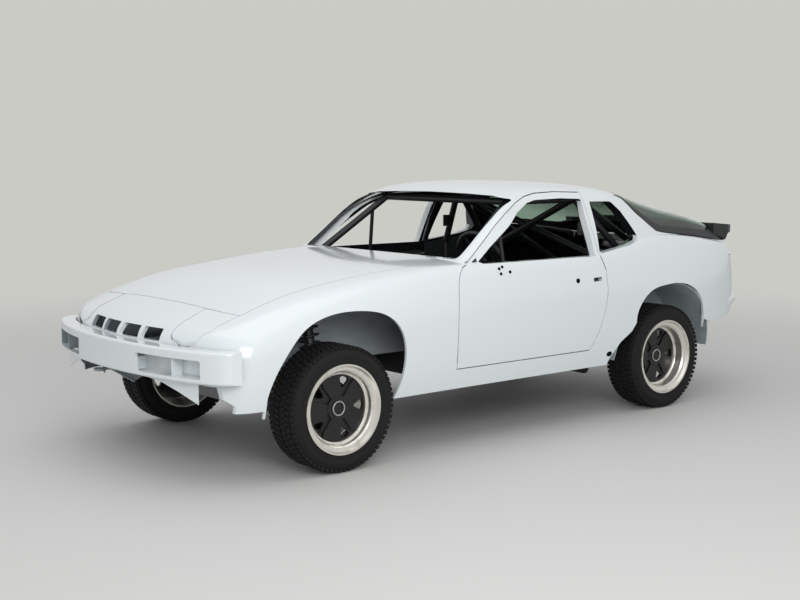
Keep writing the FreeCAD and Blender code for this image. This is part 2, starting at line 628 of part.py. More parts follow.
def make_bumper(hull):
    """An open channel pressed from sheet, with lamp holes, lamp buckets and its brackets."""
    top = BUMPER_Z + BUMPER_HEIGHT
    outer = rounded_bow(bumper_block(0, BUMPER_Z, top), BUMPER_EDGE_R)
    low, high = BUMPER_Z + BUMPER_WALL, top - BUMPER_WALL
    y0, y1, z0, z1 = LAMP_HOLE
    holes = [front_prism([(k * y0, z0, 12), (k * y1, z0, 12), (k * y1, z1, 12), (k * y0, z1, 12)], 560, 900)
             for k in (1, -1)]
    near = hull.translated(V(BUMPER_NOSE_GAP, 0, 0))
    flange = bumper_block(BUMPER_FLANGE, BUMPER_Z - 1, low + 1)
    bar = outer.cut([bumper_block(BUMPER_WALL, low, high), flange, near] + holes)
    depth = BUMPER_WALL + BUCKET_DEPTH
    wall = BUCKET_WALL
    bucket = bumper_block(BUMPER_WALL - 1, z0 - wall, z1 + wall).cut(bumper_block(depth + wall, z0 - wall, z1 + wall))
    bucket = bucket.common(box(0, FAR, BUCKET_INNER_Y - wall, y1 + wall, 0, FAR))
    bucket = bucket.cut(bumper_block(0, z0, z1).cut(bumper_block(depth, z0, z1)).common(
        box(0, FAR, BUCKET_INNER_Y, y1, 0, FAR)))
    arm = box(at(640), at(797), BUMPER_ARM_Y - 30, BUMPER_ARM_Y + 30, z0, z0 + 60)
    parts = [bucket.cut(near), arm.cut(hull.translated(V(SEAT_GAP, 0, 0))), bumper_tray()]
    keep("front_bumper", biggest(fused([bar] + parts + [flipped(p) for p in parts])))


def bumper_tray():
    """The sheet that hangs below the bumper's end."""
    top = BUMPER_Z + BUMPER_WALL - 4
    plan = [(763, 340), (685, 672), (681, 670), (759, 338)]
    cover = [(340, top), (340, 484), (440, 468), (545, 436), (640, 402), (672, 390), (672, top)]
    sheet = plan_prism(plan, 300, 600).common(front_prism(cover, 600, 800))
    return sheet


def make_tow_eye():
    """A folded bracket under the right front leg, with the towing ring at its front."""
    y = -(LEG_INNER_Y + LEG_WIDTH / 2)
    x = at(TOW_EYE_STATION)
    top = LEG_Z - SEAT_GAP
    line = [(640, top), (598, 410), (448, 316, 12), (372, 350), (330, top)]
    foot = [(598, 410), (448, 316), (448, 322), (598, 416)]
    plate = side_prism(line, y, y + TOW_PLATE)
    fold = side_prism(foot, y, y + 4 * TOW_PLATE)
    pad = box(at(330), at(640), y, y + 4 * TOW_PLATE, top - TOW_PLATE, top)
    ring = Part.makeCylinder(TOW_EYE_R + 13, TOW_EYE_WALL, V(x, y + 12, TOW_EYE_Z))
    strap = box(at(560), x, y, y + 4 * TOW_PLATE, TOW_EYE_Z, TOW_EYE_Z + TOW_EYE_WALL)
    bore = Part.makeCylinder(TOW_EYE_R, TOW_EYE_WALL + 2, V(x, y + 12, TOW_EYE_Z - 1))
    keep("tow_eye", fused([plate, fold, pad, ring, strap]).cut(bore))


def tyre_solid():
    """A ring of flat facets that stand outside the true circles, with one facet level on the ground."""
    r, w, h = TYRE_R, TYRE_WIDTH / 2, RIM_WIDTH / 2
    bead = RIM_LIP_R - RIM_FLANGE + SEAT_GAP
    lip = RIM_LIP_R + SEAT_GAP
    half = [(bead, h - 24 - SEAT_GAP), (lip, h - 8 - SEAT_GAP), (lip + 28, w), (r - 22, w - 8), (r - 7, w - 18),
            (r - 1, w - 34)]
    profile = half + [(r, 0)] + [(a, -b) for a, b in reversed(half)]
    turn = 2 * math.pi / TYRE_SIDES
    grow = 1 / math.cos(turn / 2)
    rings = []
    for k in range(TYRE_SIDES):
        c, s = grow * math.cos((k + 0.5) * turn), grow * math.sin((k + 0.5) * turn)
        rings.append([V(a * c, b, a * s) for a, b in profile])
    faces = []
    for k, ring in enumerate(rings):
        before = rings[k - 1]
        for j, point in enumerate(ring):
            corners = [before[j - 1], ring[j - 1], point, before[j]]
            faces.append(Part.Face(Part.makePolygon(corners + corners[:1])))
    return solid_of(Part.makeShell(faces))


def turned(profile):
    """A ring turned about Y from its (radius, y) profile."""
    corners = [V(a, b, 0) for a, b in profile]
    return Part.Face(Part.makePolygon(corners + corners[:1])).revolve(V(0, 0, 0), V(0, 1, 0), 360)


def rim_solid(inset):
    """Barrel, stepped lip and the ledge that carries the centre, with the outer face towards +Y."""
    h = RIM_WIDTH / 2
    seat = RIM_LIP_R - RIM_FLANGE
    well = seat - RIM_DROP
    dish = well - RIM_WALL
    face = h - inset
    outer = [(RIM_LIP_R, h), (RIM_LIP_R, h - 8), (seat, h - 24), (well, h - 60), (well, -h + 60),
             (seat, -h + 24), (RIM_LIP_R, -h + 8), (RIM_LIP_R, -h)]
    inner = [(RIM_LIP_R - 8, -h), (seat - RIM_WALL, -h + 22), (dish, -h + 60), (dish, face - 22),
             (RIM_LEDGE_R, face - 14), (RIM_LEDGE_R, face), (dish - 3, face + 4), (dish, face + 8), (dish + 3, h - 26),
             (dish + 10, h - 18), (RIM_LIP_R - 16, h - 15), (RIM_LIP_R - 10, h - 4), (RIM_LIP_R - 8, h)]
    return turned(outer + inner)


def spider_solid(inset):
    """Five petals on a web with a window between each two, a hub and a cap ring."""
    face_y = RIM_WIDTH / 2 - inset
    reach = RIM_LEDGE_R - SEAT_GAP
    web_y = face_y - PETAL_RISE - SPIDER_WEB
    parts = [Part.makeCylinder(reach, SPIDER_WEB, V(0, web_y, 0), V(0, 1, 0)),
             Part.makeCylinder(HUB_R, SPIDER_DEPTH, V(0, face_y - SPIDER_DEPTH, 0), V(0, 1, 0))]
    half = [(20, 24), (58, 22), (95, 33), (125, 45), (148, 47), (reach - 6, 40)]
    petal = [(a, -b) for a, b in half] + [(a, b) for a, b in reversed(half)]
    window = [(92, 0, 8), (148, -30, 10), (156, 0), (148, 30, 10)]
    windows = []
    for i in range(SPOKE_COUNT):
        for points, y0, depth, turn, into in ((petal, web_y + 2, SPIDER_WEB + PETAL_RISE - 4, i, parts),
                                              (window, web_y - 20, 60, i + 0.5, windows)):
            blank = outline(points, lambda p, y=y0: V(p.x, y, p.y)).extrude(V(0, depth, 0))
            blank.rotate(V(0, 0, 0), V(0, 1, 0), 360.0 / SPOKE_COUNT * turn)
            into.append(blank)
    ring = turned([(HUB_RING_R, face_y - 6), (HUB_RING_R, face_y + 4), (HUB_RING_R - 4, face_y + 4),
                   (HUB_RING_R - 8, face_y - 6)])
    return fused(parts + [ring]).cut(windows)


def make_wheels():
    tyre = tyre_solid()
    for name, x, track, inset in (("front", FRONT_AXLE_X, FRONT_TRACK, FRONT_SPOKE_INSET),
                                  ("rear", REAR_AXLE_X, REAR_TRACK, REAR_SPOKE_INSET)):
        for shape, label in ((tyre, "tyre"), (rim_solid(inset), "rim"), (spider_solid(inset), "spider")):
            keep_pair(label + "_" + name, shape.translated(V(x, track / 2, TYRE_R)))


def coil(r, wire_r, height, turns):
    """A coil spring about the Z axis, its six-sided wire in straight lengths."""
    count = int(turns * COIL_LENGTHS)
    rings = []
    for k in range(count + 1):
        angle = 2 * math.pi * k / COIL_LENGTHS
        out = V(math.cos(angle), math.sin(angle), 0)
        centre = out * r + V(0, 0, height * k / count)
        corners = [math.radians(30 + 60 * j) for j in range(6)]
        rings.append([centre + out * (wire_r * math.cos(a)) + V(0, 0, wire_r * math.sin(a)) for a in corners])
    faces = [Part.Face(Part.makePolygon(ring + ring[:1])) for ring in (rings[0], rings[-1])]
    for a, b in zip(rings, rings[1:]):
        for j in range(6):
            for corners in ((a[j - 1], a[j], b[j]), (a[j - 1], b[j], b[j - 1])):
                faces.append(Part.Face(Part.makePolygon(list(corners) + [corners[0]])))
    return solid_of(Part.makeShell(faces))


def kingpin_axis():
    lean = math.radians(KINGPIN_LEAN)
    return V(0, -math.sin(lean), math.cos(lean))


def make_front_suspension():
    x, z = FRONT_AXLE_X, TYRE_R
    y_wheel = FRONT_TRACK / 2
    y_pin = y_wheel - KINGPIN_INSET
    face = y_wheel + RIM_WIDTH / 2 - FRONT_SPOKE_INSET - SPIDER_DEPTH
    pin = kingpin_axis()
    centre = V(x, y_pin, z)
    foot = centre - pin * STRUT_DROP
    hub = rod((x, y_pin - 10, z), (x, face - SEAT_GAP, z), 38)
    disc = rod((x, y_pin + 66, z), (x, y_pin + 80, z), 128)
    strut = Part.makeCylinder(STRUT_R, STRUT_DROP + STRUT_RISE, foot, pin)
    perch = Part.makeCylinder(SPRING_R + 8, 8, centre + pin * (SPRING_START - 8), pin)
    arm = rod((x, y_pin, z - 70), (x - 125, y_pin - 20, z - 60), 12)
    keep_pair("knuckle", fused([hub, disc, strut, perch, arm]))

    height = STRUT_RISE - SPRING_START - 2 * SPRING_WIRE_R - SEAT_GAP * 2
    spring = coil(SPRING_R, SPRING_WIRE_R, height, SPRING_TURNS)
    spring.rotate(V(0, 0, 0), V(1, 0, 0), KINGPIN_LEAN)
    spring.translate(centre + pin * (SPRING_START + SPRING_WIRE_R + SEAT_GAP))
    keep_both("springs", spring)
    mount = Part.makeCylinder(SPRING_R + 16, 14, centre + pin * (STRUT_RISE + SEAT_GAP), pin)
    tower = Part.makeCylinder(34, 200, centre + pin * (STRUT_RISE + SEAT_GAP), pin)
    tower = tower.common(box(-FAR, FAR, 0, FAR, 0, TOWER_Z - SEAT_GAP))
    keep_both("strut_mounts", fused([mount, tower]))

    ball = Part.makeCylinder(20, 38, foot - pin * (38 + SEAT_GAP), pin)
    outer = foot - pin * 27
    inner_y = CROSSMEMBER_HALF + SEAT_GAP
    links = [rod((outer.x, outer.y, outer.z), (x + dx, inner_y - 30, z - 80), 12) for dx in (-45, 0)]
    arms = fused([ball] + links).common(box(-FAR, FAR, inner_y, FAR, 0, FAR))
    keep_both("lower_arms", arms)
    top = z - 45
    leg = LEG_Z - SEAT_GAP
    line = [(-CROSSMEMBER_HALF, top - 60), (CROSSMEMBER_HALF, top - 60), (CROSSMEMBER_HALF, leg),
            (CROSSMEMBER_HALF - 50, leg), (CROSSMEMBER_HALF - 50, top), (50 - CROSSMEMBER_HALF, top),
            (50 - CROSSMEMBER_HALF, leg), (-CROSSMEMBER_HALF, leg)]
    keep("front_crossmember", front_prism(line, -70, 20))


def make_rear_suspension():
    x, z = REAR_AXLE_X, TYRE_R
    face = REAR_TRACK / 2 + RIM_WIDTH / 2 - REAR_SPOKE_INSET - SPIDER_DEPTH
    tube_x, tube_z = x + TORSION_AHEAD, z - 52
    parts = [rod((tube_x, -560, tube_z), (tube_x, 560, tube_z), TORSION_R)]
    for side in (1, -1):
        parts.append(rod((x, side * (face - HUB_REACH), z), (x, side * (face - SEAT_GAP), z), 42))
        parts.append(rod((x, side * (face - 112), z), (x, side * (face - 62), z), 125))
        parts.append(rod((x, side * (face - 138), z), (tube_x, side * 480, tube_z), 26))
        parts.append(box(tube_x - 30, tube_x + 30, min(side * 500, side * 530), max(side * 500, side * 530),
                         tube_z, REAR_FLOOR_STEP_Z - SEAT_GAP))
    keep("rear_axle", fused(parts))
    keep_both("half_shafts", rod((x, 130 + SEAT_GAP, z), (x, face - HUB_REACH - SEAT_GAP, z), 18))
    top = REAR_DECK_Z - SEAT_GAP
    body = rod((x - 60, 400, z + 60), (x - 60, 400, top), 24)
    foot = rod((x - 60, 400, z + 40), (x - 60, 400, z + 62), 15)
    keep_both("dampers", fused([body, foot]))


def make_drivetrain():
    """Engine block ahead, and the transaxle with the tube that ties it to the engine."""
    x, z = FRONT_AXLE_X, TYRE_R
    keep("engine_block", box(x - 330, x + 210, -170, 190, z - 45 + SEAT_GAP, 690))
    gearbox = box(REAR_AXLE_X - 110, REAR_AXLE_X + 330, -130, 130, z - 90, z + 110)
    tube = rod((x - 330 - SEAT_GAP, 0, z + 60), (REAR_AXLE_X + 320, 0, z + 60), 40)
    keep("transaxle", fused([gearbox, tube]))


def make_floor(lining):
    room = inside(SIDE_WALL + SEAT_GAP, ROOF_WALL + SEAT_GAP, END_WALL + SEAT_GAP)
    z0 = SILL_Z + 8
    z1 = z0 + FLOOR_WALL
    step_x = REAR_AXLE_X + TORSION_AHEAD + 60
    front_x = at(-BULKHEAD_STATION)
    hollow_half = TUNNEL_HALF - 12
    low = box(step_x, front_x, -FAR, FAR, z0, z1)
    tunnel = box(step_x, front_x, -TUNNEL_HALF, TUNNEL_HALF, z0, TUNNEL_TOP_Z)
    riser = box(step_x - FLOOR_WALL, step_x, -FAR, FAR, z0, REAR_DECK_Z + FLOOR_WALL)
    deck = box(at(-3300), step_x, -FAR, FAR, REAR_DECK_Z, REAR_DECK_Z + FLOOR_WALL)
    cuts = [box(step_x - 100, front_x + 1, -hollow_half, hollow_half, z0 - 1, TUNNEL_TOP_Z - 12)]
    for side in (1, -1):
        for dx in (-SEAT_PITCH_X / 2, SEAT_PITCH_X / 2):
            for dy in (-SEAT_PITCH_Y / 2, SEAT_PITCH_Y / 2):
                hole = V(at(-SEAT_STATION) + dx, side * SEAT_Y + dy, z0 - 1)
                cuts.append(Part.makeCylinder(SEAT_HOLE_R, FLOOR_WALL + 2, hole))
        cuts.append(wheel_well(TUB_R + SEAT_GAP, side))
    keep("floor_pan", biggest(fused([low, tunnel, riser, deck]).common(room).cut(cuts)))
    outer = wheel_well(TUB_R, 1).common(lining.translated(V(0, -SEAT_GAP, 0)))
    inner_start = V(REAR_AXLE_X, TUB_INNER_Y + TUB_WALL, TYRE_R)
    inner = Part.makeCylinder(TUB_R - TUB_WALL, FAR, inner_start, V(0, 1, 0))
    keep_both("rear_tubs", biggest(outer.cut(inner).common(box(-FAR, FAR, 0, FAR, TUB_FOOT_Z, FAR))))
    make_bulkhead(front_x, z0, z1)


def make_bulkhead(front_x, z0, z1):
    """The sheet ahead of the cabin with its hinge posts, and the inner wings with their legs."""
    space = inside(FENDER_WALL + SEAT_GAP, FENDER_WALL + SEAT_GAP, END_WALL)
    post_x = at(-POST_STATION)
    post_end = post_x + POST_DEPTH
    sheet = box(front_x, front_x + 12, -BULKHEAD_HALF, BULKHEAD_HALF, z1 + SEAT_GAP, BULKHEAD_TOP_Z)
    sheet = sheet.cut(box(front_x - 1, front_x + 13, -TUNNEL_HALF, TUNNEL_HALF, z0, TUNNEL_TOP_Z + SEAT_GAP))
    parts = [sheet]
    for side in (1, -1):
        low, high = sorted((side * POST_INNER_Y, side * FAR))
        parts.append(box(post_x, post_end, low, high, z1, BULKHEAD_TOP_Z))
        low, high = sorted((side * POST_INNER_Y, side * BULKHEAD_HALF))
        parts.append(box(front_x, post_x, low, high, z1, BULKHEAD_TOP_Z))
    keep("bulkhead", fused(parts).common(space))
    start = front_x + 12 + SEAT_GAP
    wing_line = [(-760, 890), (-420, 878), (0, 848), (180, 800), (420, 740), (590, 690)]
    strip = wing_line + [(s, z - WING_WALL) for s, z in reversed(wing_line)]
    rail_y = LEG_INNER_Y + LEG_WIDTH
    plate = side_prism(wing_line + [(590, LEG_Z), (-760, LEG_Z)], rail_y - WING_WALL, rail_y)
    roof = side_prism(strip, rail_y - WING_WALL, 690)
    leg = box(start, at(LEG_END_STATION), LEG_INNER_Y, rail_y, LEG_Z, LEG_Z + LEG_HEIGHT)
    shelf = box(FRONT_AXLE_X - 100, FRONT_AXLE_X + 100, rail_y - 10, 640, TOWER_Z, TOWER_Z + WING_WALL)
    wing = fused([plate, roof, leg, shelf]).common(box(start, FAR, 0, FAR, 0, FAR))
    wing = wing.cut(box(start, post_end + SEAT_GAP, POST_INNER_Y - SEAT_GAP, FAR, 0, FAR)).common(space)
    keep_both("inner_wings", wing)


def welded(parts):
    """One solid of many crossing tubes, joined one after another."""
    whole = parts[0]
    for part in parts[1:]:
        whole = whole.fuse(part)
    return whole


def make_cage():
    """Main hoop with its diagonals, front legs, roof and door bars, stays to the tubs and the boot floor."""
    floor_z = SILL_Z + 8 + FLOOR_WALL + SEAT_GAP
    deck_z = REAR_DECK_Z + FLOOR_WALL + SEAT_GAP
    tub_z = TYRE_R + TUB_R
    hoop_x, front_x, tub_x, boot_x = at(-1930), at(-880), REAR_AXLE_X, at(-3160)
    half_plate = FOOT_PLATE / 2
    under_plate = box(at(-3300), at(-2100), -FAR, FAR, 0, deck_z + 1)
    left = [(hoop_x, 630, deck_z + half_plate), (hoop_x, 640, 930), (hoop_x, 545, 1200), (hoop_x, 480, 1256)]
    parts = tube_run(left + [(x, -y, z) for x, y, z in reversed(left)], CAGE_R)
    parts.append(rod((hoop_x, 490, 1245), (hoop_x, -632, 730), CAGE_R))
    for k in (1, -1):
        leg = [(hoop_x, k * 500, 1242), (at(-1355), k * 530, 1246), (at(-925), k * 632, 930),
               (front_x, k * 650, floor_z + half_plate)]
        parts += tube_run(leg, CAGE_R)
    parts.append(rod((at(-1360), 530, 1244), (at(-1360), -530, 1244), CAGE_R))
    for k in (1, -1):
        parts.append(rod((hoop_x, k * 490, 1250), (tub_x, k * 640, tub_z), CAGE_R).cut(wheel_well(TUB_R + 2, k)))
        parts.append(rod((hoop_x, k * 500, 1250), (boot_x, k * 470, deck_z), CAGE_R).cut(under_plate))
        parts.append(rod((hoop_x, k * 636, 760), (at(-885), k * 650, 480), CAGE_R))
        parts.append(rod((at(-1262), k * 552, 1182), (at(-1285), k * 645, 587), BRACE_R))
        for x, y, z in ((hoop_x, 630, deck_z), (front_x, 650, floor_z), (boot_x, 470, deck_z)):
            parts.append(box(x - 19, x + 45, k * y - 34, k * y + 34, z, z + FOOT_PLATE))
        low, high = sorted((k * 574, k * 670))
        plate = box(tub_x - 42, tub_x + 42, low, high, tub_z - 10, tub_z + FOOT_PLATE)
        parts.append(plate.cut(wheel_well(TUB_R + SEAT_GAP, k)))
        low, high = sorted((k * 584, k * 592))
        parts.append(box(hoop_x, at(-1866), low, high, 1040, 1112))
    parts.append(rod((hoop_x, -480, 1250), (tub_x - 10, 600, tub_z), CAGE_R).cut(wheel_well(TUB_R + 2, 1)))
    keep("roll_cage", welded(parts))


def make_steering():
    centre = V(at(-SEAT_STATION), 360, 900)
    lean = math.radians(STEERING_RAKE)
    axis = V(-math.cos(lean), 0, math.sin(lean))
    parts = [Part.makeTorus(STEERING_WHEEL_R, STEERING_RIM_R, centre, axis),
             Part.makeCylinder(34, 24, centre - axis * 12, axis)]
    for turn in (0, 120, 240):
        spoke = Part.makeBox(STEERING_WHEEL_R, 26, 5, V(0, -13, -2.5))
        spoke.rotate(V(0, 0, 0), V(0, 0, 1), turn + 90)
        spoke.Placement = FreeCAD.Placement(centre, FreeCAD.Rotation(V(0, 0, 1), axis)).multiply(spoke.Placement)
        parts.append(spoke)
    keep("steering_wheel", fused(parts))
    start = centre - axis * (12 + SEAT_GAP)
    column = Part.makeCylinder(COLUMN_R, 700, start, axis * -1)
    keep("steering_column", column.common(box(-FAR, at(-BULKHEAD_STATION) - SEAT_GAP, -FAR, FAR, 0, FAR)))


lower_body, inner_lining = make_shell()
make_bumper(lower_body)
make_tow_eye()
make_wheels()
make_front_suspension()
make_rear_suspension()
make_drivetrain()
make_floor(inner_lining)
make_cage()
make_steering()

os.makedirs("parts", exist_ok=True)
for node, shape in NODES.items():
    shape.exportStep(os.path.join("parts", node + ".step"))
    b = shape.BoundBox
    print(node, len(shape.Solids), shape.isValid(), round(shape.Volume / 1e3), "cc",
          [round(v) for v in (b.XMin, b.XMax, b.YMin, b.YMax, b.ZMin, b.ZMax)])
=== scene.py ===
"""Looks of a stripped rally coupe: gloss white shell, black cabin and cage, all-terrain tyres."""
import json
import math

import bpy
from mathutils import Matrix, Vector


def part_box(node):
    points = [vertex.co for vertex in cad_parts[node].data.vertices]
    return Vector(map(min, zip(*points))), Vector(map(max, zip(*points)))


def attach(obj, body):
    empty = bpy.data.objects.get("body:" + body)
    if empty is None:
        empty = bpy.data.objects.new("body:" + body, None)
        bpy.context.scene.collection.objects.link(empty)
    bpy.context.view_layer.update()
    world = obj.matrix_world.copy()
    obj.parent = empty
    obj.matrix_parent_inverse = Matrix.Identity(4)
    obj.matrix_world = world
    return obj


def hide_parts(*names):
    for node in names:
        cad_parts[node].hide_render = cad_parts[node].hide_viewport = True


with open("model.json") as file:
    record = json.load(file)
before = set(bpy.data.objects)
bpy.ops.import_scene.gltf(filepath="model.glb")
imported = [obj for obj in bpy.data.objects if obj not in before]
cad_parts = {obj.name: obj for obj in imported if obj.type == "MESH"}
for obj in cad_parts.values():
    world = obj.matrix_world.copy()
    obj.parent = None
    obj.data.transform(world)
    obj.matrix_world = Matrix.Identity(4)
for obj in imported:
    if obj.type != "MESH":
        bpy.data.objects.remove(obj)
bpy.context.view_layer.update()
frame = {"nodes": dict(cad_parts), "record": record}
nodes = frame["nodes"]
MM = 0.001
SIDES = (("left", 1), ("right", -1))

# Where the front axle lies and how large the tyres are, read from the frame
tyre_low, tyre_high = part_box("tyre_front_left")
FRONT_AXLE = (tyre_low.x + tyre_high.x) / 2
TYRE_R = tyre_high.z / 2

# Tyre casing: width of the flat crown, and the wall from there to the bead as (radius, y)
CROWN_WIDTH = 0.150
TYRE_WALL = ((0.2925, 0.084), (0.282, 0.0945), (0.266, 0.1005), (0.262, 0.1025),
             (0.250, 0.1022), (0.246, 0.1002), (0.236, 0.0985), (0.232, 0.1000),
             (0.226, 0.0990), (0.2185, 0.0935), (0.2140, 0.0905))
CASING_SIDES = 96

# Tread: its blocks as (y, width, share of the pitch, lead in pitches, turn), and the shoulder lugs
TREAD_DEPTH = 7 * MM
TREAD_PITCHES = 68
STAGGER = 0.35
TREAD_BLOCKS = ((-0.062, 0.030, 0.72, 0.0, 0.12), (-0.024, 0.036, 0.66, STAGGER, -0.35),
                (0.024, 0.036, 0.66, 0.0, 0.35), (0.062, 0.030, 0.72, STAGGER, -0.12))
BLOCK_EDGE = 1.2 * MM
LUG_SHARE, LUG_WIDTH, LUG_HEIGHT, LUG_EDGE = 0.70, 0.010, 0.024, 0.002
LUG_Y, LUG_DROP, LUG_TILT = 0.0870, 0.015, 0.5

# Hub: the cap and the ring stand this far behind and before a plane just under the centre's face
HUB_STEP = 0.004
CAP_R, CAP_DEPTH, CAP_EDGE = 0.027, 0.012, 0.003
RING_R, RING_WIRE_R = 0.033, 0.0042

# Small parts on the left of the body as (station, y, z); stations count ahead from the front axle
# The lock hole, the mirror holes and the jack hole are near-black pads of painted shade for their
# unlit depths.
LOCK_AT, LOCK_R = (-1.613, 0.8320, 0.812), 0.013
# A black block of painted shade sits behind the handle opening, for its unlit depth.
HANDLE_OPENING_AT, HANDLE_OPENING_SIZE = (-1.7745, 0.806, 0.810), (0.062, 0.004, 0.020)
MIRROR_HOLES = ((-1.042, 0.805, 0.911), (-1.066, 0.802, 0.919), (-1.048, 0.814, 0.885),
                (-1.113, 0.814, 0.891))
MIRROR_HOLE_R = 0.0085
HOLE_DEPTH = 0.006
JACK_AT, JACK_R, JACK_DEPTH, JACK_STRETCH = (-1.893, 0.8158, 0.376), 0.015, 0.004, 1.5
JACK_LEAN = -0.215
SMALL_EDGE = 0.001

# Foot of the pillar behind the door: rear edge, thickness, and rows up the skin as (z, length, y)
FOOT_REAR, FOOT_DEPTH, FOOT_START = -1.7996, 20 * MM, 1 * MM
FOOT_ROWS = ((0.4509, 0.0522, 0.8299), (0.470, 0.0391, 0.8326), (0.4977, 0.0201, 0.8357),
             (0.520, 0.0114, 0.8376), (0.548, 0.0006, 0.8397))

# Which faces of a panel are lined: those that face inward or down by more than this cosine, and
# the depth of the side windows, inside a plane that leans in with the glass
LINED_COSINE = -0.15
CEILING_FROM_Z = 0.72
GLASS_LEAN, GLASS_PLANE_Y, GLASS_PLANE_Z = 0.46, 0.745, 0.95
GLASS_HEIGHTS = (0.937, 1.262)
GLASS_STATIONS = (-2.25, -0.8)
PILLAR_SLOPE, PILLAR_SLANTS = 1.58, (-1.0, 0.592)

# Camera, from the photograph
LENS_MM, SENSOR_MM = 57.69, 36.0
CAMERA_AT = (3.552, 5.658, 1.5325)
CAMERA_YAW, CAMERA_PITCH, CAMERA_ROLL = -2.2513, -0.1171, -0.0026

# Studio: the floor runs into the backdrop between two distances; softboxes as (place, size, watts)
BACKDROP, FLOOR, SKY, SKY_STRENGTH = "#CBCBC6", "#CDCDCB", "#EDEEEF", 0.8
FLOOR_SIZE, FLOOR_FADE = 400, (2.6, 8.0)
SOFTBOXES = (((1.5, 1.0, 4.2), (6.0, 4.0), 42), ((3.5, 5.5, 3.0), (3.0, 2.0), 125))
LIGHTS_AIM = (0, 0, 0.5)


def at(station):
    """Frame x of a distance ahead of the front axle."""
    return FRONT_AXLE + station


def linear(code):
    """A colour written as an sRGB hex value, in linear light."""
    parts = [int(code[i:i + 2], 16) / 255 for i in (1, 3, 5)]
    return [c / 12.92 if c <= 0.04045 else ((c + 0.055) / 1.055) ** 2.4 for c in parts] + [1.0]


def add(tree, kind, inputs=(), **settings):
    """Adds a node with its settings, and sets or links its inputs."""
    made = tree.nodes.new(kind)
    for key, value in settings.items():
        setattr(made, key, value)
    for key, value in dict(inputs).items():
        if isinstance(value, bpy.types.NodeSocket):
            tree.links.new(value, made.inputs[key])
        else:
            made.inputs[key].default_value = value
    return made


def compute(tree, operation, *values):
    """Result of a math node that takes sockets and numbers."""
    return add(tree, "ShaderNodeMath", dict(enumerate(values)), operation=operation).outputs[0]


def mixed(tree, share, first, second):
    """A colour that goes from the first hex value to the second with the share."""
    inputs = {"Factor": share, 6: linear(first), 7: linear(second)}
    return add(tree, "ShaderNodeMix", inputs, data_type="RGBA").outputs[2]


def surface(name, **inputs):
    """A material with one Principled shader; its inputs are given by name."""
    made = bpy.data.materials.new(name)
    made.use_nodes = True
    shader = made.node_tree.nodes["Principled BSDF"]
    for key, value in inputs.items():
        shader.inputs[key.replace("_", " ")].default_value = value
    return made, made.node_tree, shader


def noise(tree, size_mm, detail, stretch=(1, 1, 1)):
    """Noise whose features are size_mm large on the part, longer along an axis by its stretch."""
    where = add(tree, "ShaderNodeTexCoord").outputs["Object"]
    scale = [1 / (size_mm * MM * k) for k in stretch]
    placed = add(tree, "ShaderNodeMapping", {"Vector": where, "Scale": scale}).outputs[0]
    inputs = {"Vector": placed, "Scale": 1.0, "Detail": detail}
    return add(tree, "ShaderNodeTexNoise", inputs).outputs[0]


def bump(tree, shader, height, strength, distance_mm):
    """Raises the surface with the height."""
    inputs = {"Height": height, "Strength": strength, "Distance": distance_mm * MM}
    tree.links.new(add(tree, "ShaderNodeBump", inputs).outputs[0], shader.inputs["Normal"])


def blended(tree, shader, share, first, second):
    """Base colour that goes from the first hex value to the second with the share."""
    tree.links.new(mixed(tree, share, first, second), shader.inputs["Base Color"])


def lined_side(tree):
    """1 on faces of a panel that look into the car, 0 on the outer skin."""
    where = add(tree, "ShaderNodeTexCoord")
    x, y, z = add(tree, "ShaderNodeSeparateXYZ", {0: where.outputs["Object"]}).outputs
    facing = add(tree, "ShaderNodeSeparateXYZ", {0: where.outputs["Normal"]}).outputs
    outward = compute(tree, "MULTIPLY", compute(tree, "SIGN", y), facing[1])
    inward = compute(tree, "LESS_THAN", outward, LINED_COSINE)
    down = compute(tree, "LESS_THAN", facing[2], LINED_COSINE)
    high = compute(tree, "GREATER_THAN", z, CEILING_FROM_Z)
    lined = compute(tree, "MAXIMUM", inward, compute(tree, "MULTIPLY", down, high))
    # The depth of the side windows, from belt to roof rail and forward to the slanted front pillar
    lean = compute(tree, "MULTIPLY_ADD", z, GLASS_LEAN, compute(tree, "ABSOLUTE", y))
    reveal = compute(tree, "LESS_THAN", lean, GLASS_PLANE_Y + GLASS_LEAN * GLASS_PLANE_Z)
    slant = compute(tree, "MULTIPLY_ADD", z, PILLAR_SLOPE, x)
    for socket, (low, high_end) in ((z, GLASS_HEIGHTS), (x, [at(s) for s in GLASS_STATIONS]),
                                    (slant, [at(s) for s in PILLAR_SLANTS])):
        middle, reach = (low + high_end) / 2, (high_end - low) / 2
        within = compute(tree, "COMPARE", socket, middle, reach)
        reveal = compute(tree, "MULTIPLY", reveal, within)
    return compute(tree, "MAXIMUM", lined, reveal)


def enamelled_panel(name, inner):
    """Two-pack gloss enamel sprayed on steel, a deep even white with a faint orange peel; the inner
    side is painted in its own colour."""
    made, tree, shader = surface(name, Roughness=0.16, Coat_Weight=0.6, Coat_Roughness=0.05)
    blended(tree, shader, lined_side(tree), "#DEE4E6", inner)
    bump(tree, shader, noise(tree, 6, 1.0), 0.05, 0.2)
    return made


def satin_black():
    """Satin black enamel on tube and sheet steel, with a dry powdery bloom in places."""
    made, tree, shader = surface("satin_black_enamel", Roughness=0.42)
    blended(tree, shader, noise(tree, 60, 4.0), "#151618", "#222326")
    bump(tree, shader, noise(tree, 3, 3.0), 0.15, 0.2)
    return made


def well_paint():
    """Blue-grey sealing paint in the wheel wells, brushed on in streaks."""
    made, tree, shader = surface("well_grey_sealer", Roughness=0.45)
    streaks = noise(tree, 40, 4.0, (3, 1, 1))
    blended(tree, shader, streaks, "#8F989D", "#B3BABD")
    bump(tree, shader, streaks, 0.2, 0.6)
    return made


def tyre_rubber():
    """Vulcanised black rubber, a little dusty."""
    made, tree, shader = surface("tyre_rubber", Roughness=0.8, Specular_IOR_Level=0.35)
    dust = noise(tree, 25, 5.0)
    blended(tree, shader, dust, "#0B0B0B", "#1A1918")
    bump(tree, shader, dust, 0.2, 0.3)
    return made


